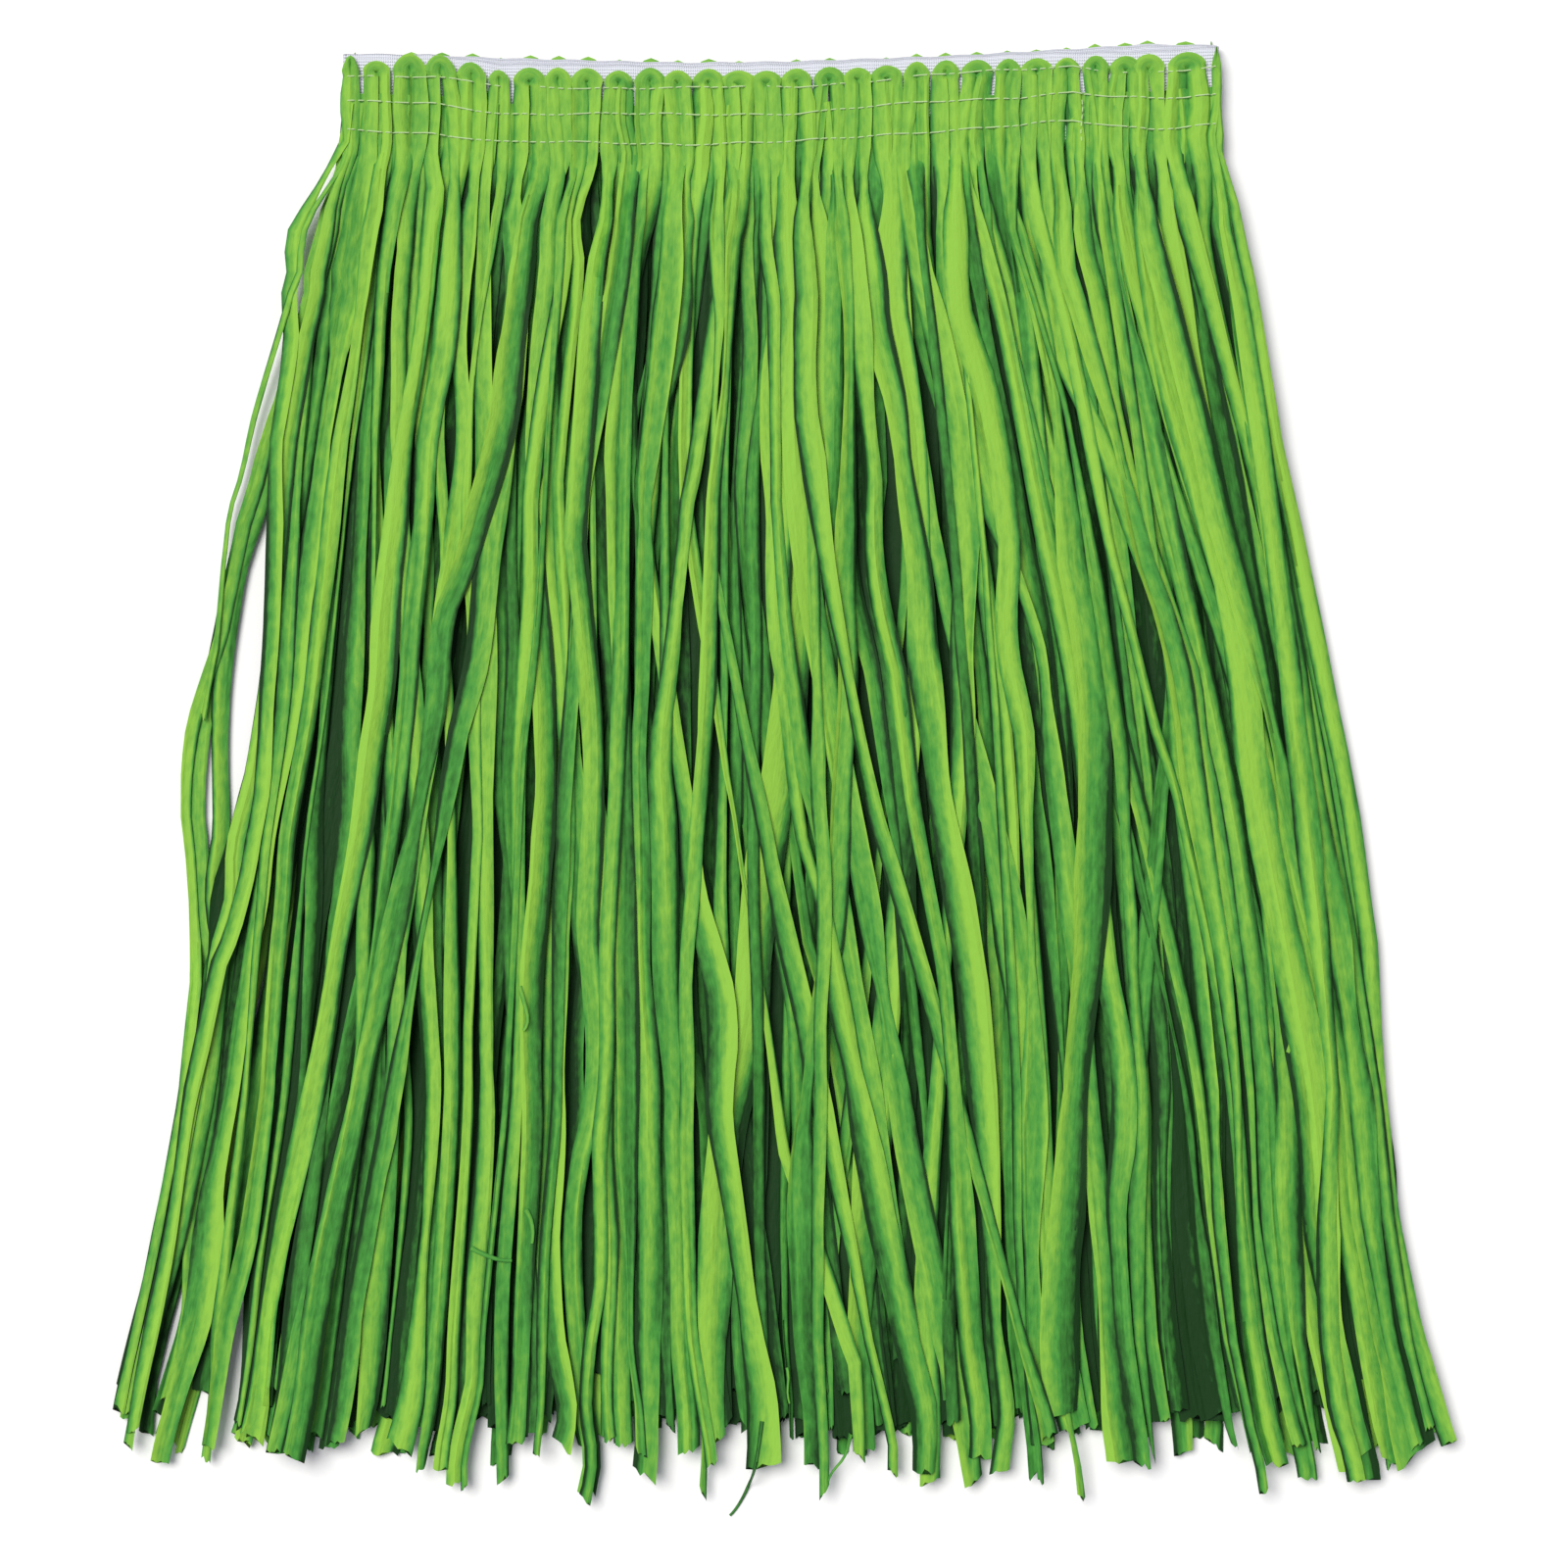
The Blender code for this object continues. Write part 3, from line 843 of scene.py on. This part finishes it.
def raffia_group():
    """Paper raffia: colour, roughness and a bump height, from how each strip lies and folds. The colour is
    its tone with painted shade and painted highlight, mottled by blotches and streaks, with crinkles
    painted in as light and shade.
    """
    group = bpy.data.node_groups.new("raffia_tone_and_shade", "ShaderNodeTree")
    for name in ("Lime", "LeafShade", "DeepShade"):
        group.interface.new_socket(name, in_out="INPUT", socket_type="NodeSocketColor")
    for name, kind in (("Color", "Color"), ("Roughness", "Float"), ("Height", "Float")):
        group.interface.new_socket(name, in_out="OUTPUT", socket_type="NodeSocket" + kind)
    inside = add(group, "NodeGroupInput").outputs
    lay = add(group, "ShaderNodeAttribute", attribute_name="lay").outputs["Vector"]
    tone_and_shade = add(group, "ShaderNodeAttribute", attribute_name="tone_and_shade").outputs["Vector"]
    tone_and_shade = add(group, "ShaderNodeSeparateXYZ", {"Vector": tone_and_shade}).outputs
    blotches = noise(group, lay, 30.0, (2.0, 0.6, 40.0), 3.0)
    streaks = noise(group, lay, 900.0, (1.0, 0.045, 10.0), 4.0)
    crumples = noise(group, lay, 420.0, (1.0, 0.35, 10.0), 4.0)
    # The tone carries painted shade, and the folds and edges add painted highlight and painted shade.
    # Blotches and streaks mottle it, and the crumples paint the light and shade of fine crinkles into it as
    # well as feeding the bump.
    tone_with_shade = math_node(group, "MULTIPLY_ADD", tone_and_shade["Y"], 0.34, tone_and_shade["X"])
    for pattern, strength in ((blotches, 0.5), (streaks, 0.34), (crumples, 0.66)):
        swing = math_node(group, "MULTIPLY_ADD", pattern, strength, -0.5 * strength)
        tone_with_shade = math_node(group, "ADD", tone_with_shade, swing)
    leaf_share = spread_out(group, tone_with_shade, 0.0, 0.55, "LINEAR")
    lime_share = spread_out(group, tone_with_shade, 0.45, 1.18, "SMOOTHSTEP")
    dark = mixed(group, leaf_share, inside["DeepShade"], inside["LeafShade"])
    add(group, "NodeGroupOutput", {
        "Color": mixed(group, lime_share, dark, inside["Lime"]),
        "Roughness": math_node(group, "MULTIPLY_ADD", streaks, 0.25, 0.45),
        "Height": math_node(group, "MULTIPLY_ADD", streaks, 0.45, crumples)})
    return group


# Lime is the raffia in full light. The leaf green is painted half shade and the deep green painted deep
# shade.
LIME, LEAF_SHADE, DEEP_SHADE = (0.262, 0.525, 0.060), (0.062, 0.290, 0.046), (0.010, 0.042, 0.010)


def raffia_material(name, group):
    """Paper raffia, painted from near black in the folds to lime on the crests: painted shade and painted
    highlight over its tone.
    """
    material = bpy.data.materials.new(name)
    tree = nodes_of(material)
    colours = {"Lime": LIME, "LeafShade": LEAF_SHADE, "DeepShade": DEEP_SHADE}
    effect = add(tree, "ShaderNodeGroup", colours, node_tree=group).outputs
    finish_material(tree, effect["Color"], effect["Height"], 0.0006, {
        "Roughness": effect["Roughness"], "Specular IOR Level": 0.09}, 0.8)
    return material


def noisy_material(name, first, second, scale, roughness, bump_distance):
    """A matt finish that wanders between two near colours, with a fine grain."""
    material = bpy.data.materials.new(name)
    tree = nodes_of(material)
    place = add(tree, "ShaderNodeTexCoord").outputs["Object"]
    grain = noise(tree, place, scale, (1.0, 1.0, 1.0), 4.0)
    colour = mixed(tree, grain, first, second)
    finish_material(tree, colour, grain, bump_distance, {"Roughness": roughness})
    return material


SHADED_EDGE_BAND = 0.6                      # width of the grey band of painted shade along the tape's top edge


def tape_material():
    """White elastic: fine ribs round the waist, crossed by a weave, with painted shade in a greyer band
    along its top edge.
    """
    material = bpy.data.materials.new("ribbed_elastic")
    tree = nodes_of(material)
    lay = add(tree, "ShaderNodeAttribute", attribute_name="lay").outputs["Vector"]
    ribs = wave(tree, lay, "Y", 240.0, 0.6)
    weave_across = wave(tree, lay, "X", 330.0, 1.0)
    height = math_node(tree, "MULTIPLY_ADD", ribs, weave_across, ribs)
    down = add(tree, "ShaderNodeSeparateXYZ", {"Vector": lay}).outputs["Y"]
    edge = math_node(tree, "LESS_THAN", down, SHADED_EDGE_BAND * MM)
    # Painted shade: the ribs and the weave lighten and darken the white, and the top edge is painted
    # greyer.
    shade = math_node(tree, "MULTIPLY_ADD", height, 0.12, 0.86)
    shade = math_node(tree, "MULTIPLY_ADD", edge, -0.28, shade)
    colour = mixed(tree, shade, (0.22, 0.23, 0.28), (0.85, 0.88, 0.97))
    finish_material(tree, colour, height, 0.0003, {"Roughness": 0.75})
    return material


# ---------------------------------------------------------------- laying the skirt

def fan_share(side, across, drop=0.0):
    """The share of the fan's width at which a place lies."""
    left, right = fan_edges(side, drop)
    return (across - left) / (right - left)


def hem_at(across):
    """The cut line of the hem, which waves a little."""
    return HEM_DROP + 3.0 * math.sin(across / 31.0) + 2.5 * math.sin(across / 13.0 + 1.0)


def strip_width():
    """Most strips are middling; some are narrow and a few are broad."""
    kind = rng.uniform()
    if kind < 0.2:
        return rng.uniform(4.0, 6.0)
    if kind < 0.7:
        return rng.uniform(6.5, 9.5)
    return rng.uniform(9.5, 11.5)


def loop_places():
    """Centre, radius and rise of each loop across the waist, the same each time it is asked."""
    odd = {row.number: row for row in ODD_LOOPS}
    own = np.random.default_rng(7)
    for number in range(LOOPS):
        if number in odd:
            yield odd[number].centre, odd[number].radius, odd[number].rise
        else:
            centre = FIRST_LOOP + LOOP_PITCH * number + own.uniform(-0.8, 0.8)
            yield centre, LOOP_RADIUS + own.uniform(-0.35, 0.45), own.uniform(-0.9, 0.9)


TRIES = 6                            # ways tried for each strip
TOGETHER = 0.6                       # share of the loops whose two legs fall together
LIGHT = 0.8                          # share of the outer strips that are light
OUTER_WANDER = 3.6
OUTER_STEEP = 0.62
NECK = 1.2                           # a strip is this much wider than its loop where it leaves it
PROBES = np.arange(60.0, 600.0, 12.0)


def emptiest(taken, routes):
    """Of some ways down the skirt, the one that runs where the fewest strips lie."""
    return min(routes, key=lambda route: taken.under(route(PROBES), PROBES).mean())


def take_up(taken, leg):
    """Note where a leg lies, and hand it back."""
    np.add.at(taken.height, taken.cell(filled(leg.across), filled(leg.drop)), 1.0)
    return leg


def plan_outer(layer, pin, short, taken):
    """The outer layer's legs, two to a loop. The two legs of many loops fall together."""
    legs = [None] * (2 * LOOPS)
    places = list(loop_places())
    side = side_of(layer)
    flow = 1.0 if side == "front" else 0.0
    for number in rng.permutation(LOOPS):
        centre, radius, _ = places[number]
        own_pin = pin + rng.uniform(-0.15, 0.25)
        apart = rng.uniform(0.1, 0.6) if rng.uniform() < TOGETHER else rng.uniform(0.8, 1.3)
        shift = rng.normal(0.0, 0.006)
        lean = rng.normal(0.0, 0.045)
        for sign in (-1, 1):
            share = fan_share(side, centre + sign * radius)
            gather = (fan_share(side, centre) - share) * (1.0 - apart) + shift
            route = emptiest(taken, [
                fan_route(side, share, gather, lean + rng.normal(0.0, 0.05), OUTER_WANDER, flow)
                for _ in range(TRIES)])
            end = hem_at(route(np.array([HEM_DROP]))[0]) - short + rng.normal(0.0, 5.5)
            leg = make_leg(layer, route, end, strip_width(), OUTER_STEEP, 2.0 * radius + 1.9,
                           neck=2.0 * radius + NECK)
            tone = 0.95 + rng.normal(0.0, 0.07) if rng.uniform() < LIGHT else rng.uniform(0.74, 0.9)
            legs[2 * number + (sign > 0)] = take_up(taken, plan_leg(layer, leg, own_pin, tone, 0.5))
    return legs


def loop_legs(heap, side, planned, strips, higher):
    """Join each two legs of the outer layer with the loop between them."""
    looped = []
    for number, (_, radius, rise) in enumerate(loop_places()):
        first, second = strips[2 * number], strips[2 * number + 1]
        arch = loop_over(heap, side, first, second, planned[2 * number].pin,
                         (rise if side == "front" else min(rise, 0.6)) + higher, 2.0 * radius + NECK)
        looped.append(joined(first, arch, second))
    return looped


# Layers of single legs, below the looped strips and among those of the front. Their tones are darker than
# the outer strips', as painted shade of lying deep in the heap.
Fill = namedtuple("Fill", "layer count pin short tones widths slant flow rank")
BACK_UNDER = Fill("back_inner", 58, 2.1, 12.0, (0.12, 0.4), (10.0, 13.0), 0.02, 0.0, 0.0)
FRONT_UNDER = Fill("front_inner", 74, 7.1, 9.0, (-0.2, 0.24), (6.5, 10.5), 0.02, 0.0, 0.0)
FRONT_MIDDLE = Fill("front_middle", 50, 7.6, 7.0, (0.3, 0.85), (4.0, 8.0), 0.065, 0.7, -2.0)


def plan_fill(fill, taken):
    """A layer of single legs whose tops are held in the heading."""
    legs = []
    side = side_of(fill.layer)
    for start in rng.permutation(np.linspace(-180.0, 182.0, fill.count)):
        route = emptiest(taken, [
            fan_route(side, fan_share(side, np.clip(start + rng.normal(0.0, 8.0), -181.0, 182.0)), 0.0,
                      rng.normal(0.0, fill.slant), 3.0, fill.flow) for _ in range(TRIES)])
        end = hem_at(start) - fill.short - abs(rng.normal(0.0, 13.0))
        leg = make_leg(fill.layer, route, end, rng.uniform(*fill.widths), 0.4, 8.0, 2)
        pin = fill.pin + rng.uniform(-0.1, 0.1)
        legs.append(take_up(taken, plan_leg(fill.layer, leg, pin, rng.uniform(*fill.tones), fill.rank)))
    return legs


# Frayed threads of paper on top, each as pairs of a place across and a drop.
FIBRES = table(
    "width tone points",
    (1.8, 0.35, ((-8, 585), (-10, 600), (-12, 610), (-16, 620), (-21, 628), (-23, 629))),
    (1.5, 0.7, ((30, 590), (28, 601), (26, 604), (21, 608), (20, 613))),
    (2.0, 0.85, ((-112, 398), (-110, 406), (-108, 412), (-108, 417), (-111, 419))),
    (2.2, 0.75, ((-110, 494), (-107, 499), (-106, 505), (-107, 511))),
    (2.2, 0.7, ((-134, 511), (-128, 514), (-121, 517), (-114, 517))),
    (1.2, 0.75, ((2, 562), (4, 567), (2, 573), (4, 580))),
)

# Narrow strips that reach past the hem.
TIPS = table(
    "across end width tone",
    (-133, 615, 4.0, 0.9),
    (-82, 620, 5.0, 0.95),
    (-62, 606, 3.0, 0.8),
    (-33, 618, 4.5, 0.9),
    (18, 617, 4.5, 0.85),
    (111, 612, 3.0, 0.9),
    (122, 619, 4.0, 0.9),
    (206, 616, 4.5, 0.9),
)


def lay_fibre(heap, row):
    """A fine frayed thread of paper, laid over whatever lies below."""
    corners = np.array(row.points, dtype=float)
    steps = np.hypot(*np.diff(corners, axis=0).T)
    along = np.concatenate(((0.0,), np.cumsum(steps)))
    fine = np.linspace(0.0, along[-1], max(int(along[-1] / 2.5), 4))
    across = eased(np.interp(fine, along, corners[:, 0]), 2)
    drop = eased(np.interp(fine, along, corners[:, 1]), 2)
    places = np.tile(np.linspace(-1.0, 1.0, 3), (len(fine), 1))
    width = np.full(len(fine), row.width) * (1.0 - 0.4 * fine / fine[-1])
    grid_across, grid_drop = plan(across, drop, width, places)
    relief = 0.15 * (1.0 - np.abs(places))
    zero = np.zeros(len(fine))
    leg = Leg(across, drop, width, relief, places, zero)
    tone = np.full(len(fine), row.tone)
    item = Planned(leg, grid_across, grid_drop, zero, 0.0, tone, zero, zero.copy(), np.zeros(places.shape))
    lay_stretch(heap, item, 0, len(fine))
    return settled(item)


# Strips with a way of their own, as pairs of a drop and a place across: the lock that stands off the left
# side, and the edges of the body.
ROUTED = table(
    "layer rank width tone end points",
    ("front_inner", 0.0, 9.0, 0.72, 586, (
        (0, -180), (36, -184), (80, -195), (130, -206), (150, -216), (172, -223), (191, -226.5),
        (210, -231), (229, -236.5), (249, -240), (268, -244), (287, -248.5), (306, -250.5), (326, -251.5),
        (345, -250), (364, -249), (397, -248), (447, -252), (548, -268), (600, -276))),
    ("front_inner", 1.0, 7.0, 0.6, 578, (
        (0, -178), (36, -181), (80, -192), (150, -214), (172, -221), (191, -225), (210, -229.5),
        (229, -234), (249, -237), (268, -239), (287, -240.5), (306, -241.5), (326, -242.5), (345, -243.5),
        (397, -243), (447, -247), (548, -262), (600, -270))),
    ("front_inner", 1.5, 5.0, 0.85, 582, (
        (0, -181), (36, -185), (80, -197), (130, -208), (172, -220), (210, -228), (249, -236), (268, -243),
        (287, -250), (306, -253), (326, -254), (345, -252), (364, -250.5), (397, -249.5), (447, -255),
        (548, -274), (600, -284))),
    ("front_outer", 1.5, 6.5, 0.9, 590, (
        (0, -183), (36, -186), (52, -196), (65, -204), (76, -207.5), (104, -208.5), (125, -209.5),
        (166, -216), (200, -217), (271, -222.5), (321, -224), (345, -228), (380, -238), (447, -253),
        (548, -267), (600, -276))),
    ("front_outer", 1.5, 2.6, 0.9, 284, (
        (0, -176), (40, -186), (70, -204), (95, -209), (104, -212.5), (145, -226), (159, -230),
        (173, -232.7), (185, -235.6), (196, -239.5), (204, -240), (220, -241.5), (236, -242.5),
        (254, -244), (268, -247), (284, -250))),
    ("front_outer", 1.5, 7.0, 0.95, 596, (
        (0, 184), (40, 188), (69, 196), (107, 204), (166, 213), (205, 222), (254, 232), (280, 237),
        (305, 242.5), (327, 246.5), (355, 250.5), (380, 254), (447, 258), (500, 264), (548, 273),
        (600, 289))),
)


TOP_PIN = 8.0                        # height at which the strips of ROUTED and TIPS are held on the front


def plan_routed(layer, pin):
    """The front's strips whose way is listed, in one layer."""
    legs = []
    for row in ROUTED:
        if row.layer == layer:
            gathered = min(5.0, 1.3 * row.width)
            leg = make_leg("routed", hand_route(row.points), row.end, row.width, 0.45, gathered, 3)
            least = 0.85 * row.width * smooth((leg.drop - 60.0) / 60.0)
            leg = leg._replace(width=np.clip(leg.width, least, 1.1 * row.width))
            legs.append(plan_leg(layer, leg, pin, row.tone, row.rank))
    return legs


def plan_tips(pin):
    """The long narrow strips on top of the front."""
    legs = []
    for row in TIPS:
        route = fan_route("front", fan_share("front", row.across, HEM_DROP), 0.0, 0.0, 1.5)
        leg = make_leg("front_outer", route, row.end, row.width, 0.5, 6.0, 2)
        legs.append(plan_leg("front_outer", leg, pin, row.tone, 1.0))
    return legs


group = raffia_group()
front_green = raffia_material("front_raffia", group)
back_green = raffia_material("back_raffia", group)

heap = Heap()
taken_behind = Heap()
legs = plan_outer("back_outer", 0.9, 8.0, taken_behind)
back_outer = loop_legs(heap, "back", legs, weave(heap, legs), BACK_LOOPS_RISE)
back_inner = weave(heap, plan_fill(BACK_UNDER, taken_behind))
across_tape, drop_tape = np.meshgrid(np.arange(-188.0, 188.5, 1.0), np.arange(-4.0, 34.0, 1.0))
heap.cover(across_tape, drop_tape, np.full(across_tape.shape, tape_high.z / MM))
inner = plan_fill(FRONT_UNDER, taken_behind)
front_inner = weave(heap, inner + plan_routed("front_inner", FRONT_UNDER.pin))
taken = Heap()
legs = plan_outer("front_outer", 8.5, 0.0, taken)
middle = plan_fill(FRONT_MIDDLE, taken)
top = plan_routed("front_outer", TOP_PIN) + plan_tips(TOP_PIN)
strips = weave(heap, legs + top + middle)
front_outer = loop_legs(heap, "front", legs, strips, 0.0) + strips[len(legs):-len(middle)]
front_middle = strips[-len(middle):]
fibres = [lay_fibre(heap, row) for row in FIBRES]

for name, strips, material, slot in (
    ("back_raffia", back_outer, back_green, "raffia_back"),
    ("back_under_raffia", back_inner, back_green, "raffia_back"),
    ("front_under_raffia", front_inner, front_green, "raffia"),
    ("front_middle_raffia", front_middle, front_green, "raffia"),
    ("front_raffia", front_outer, front_green, "raffia"),
):
    piece = make_strips(name, strips, material)
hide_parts(*["back_lock_%02d" % lock for lock in range(1, 17)])
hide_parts(*["front_lock_%02d" % lock for lock in range(1, 17)])
fibre_piece = make_strips("frayed_fibres", fibres, front_green)
tape_piece = make_tape(tape_material())
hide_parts("waist_tape")
thread_finish = noisy_material("thread", (0.42, 0.62, 0.24), (0.66, 0.80, 0.50), 900.0, 0.6, 0.0002)
thread_piece = make_strips("stitching", lay_thread(heap), thread_finish)

# ---------------------------------------------------------------- floor, light and camera

def make_floor():
    bm = bmesh.new()
    bmesh.ops.create_grid(bm, x_segments=8, y_segments=8, size=20.0)
    bmesh.ops.translate(bm, verts=bm.verts, vec=(0.0, 0.0, -0.0002))
    pale = noisy_material("pale_floor", (0.93, 0.93, 0.93), (0.94, 0.94, 0.94), 3.0, 0.9, 0.0)
    mesh_object("floor", bm, pale)


def add_light():
    key = bpy.data.lights.new("key", "SUN")
    key.energy = 3.1
    key.angle = math.radians(38.0)
    key.color = (1.0, 0.985, 0.94)
    lamp = add_object("key", key)
    lamp.rotation_euler = Vector((0.36, -0.32, -0.88)).to_track_quat("-Z", "Y").to_euler()
    studio = bpy.data.worlds.new("studio")
    bpy.context.scene.world = studio
    tree = nodes_of(studio)
    sky = add(tree, "ShaderNodeBackground", {"Color": (0.88, 0.87, 1.0), "Strength": 0.34})
    paper = add(tree, "ShaderNodeBackground", {"Color": (0.97, 0.97, 0.98)})
    seen = add(tree, "ShaderNodeLightPath").outputs["Is Camera Ray"]
    both = add(tree, "ShaderNodeMixShader", {0: seen, 1: sky.outputs[0], 2: paper.outputs[0]})
    add(tree, "ShaderNodeOutputWorld", {"Surface": both.outputs[0]})


def add_camera():
    lens = bpy.data.cameras.new("camera")
    lens.lens = 85.0
    lens.sensor_width = 36.0
    lens.clip_end = 100.0
    camera = add_object("camera", lens)
    camera.location = (-0.0045, -0.0014, 1.597)
    bpy.context.scene.camera = camera


make_floor()
add_light()
add_camera()
bpy.context.scene.view_settings.view_transform = "Standard"
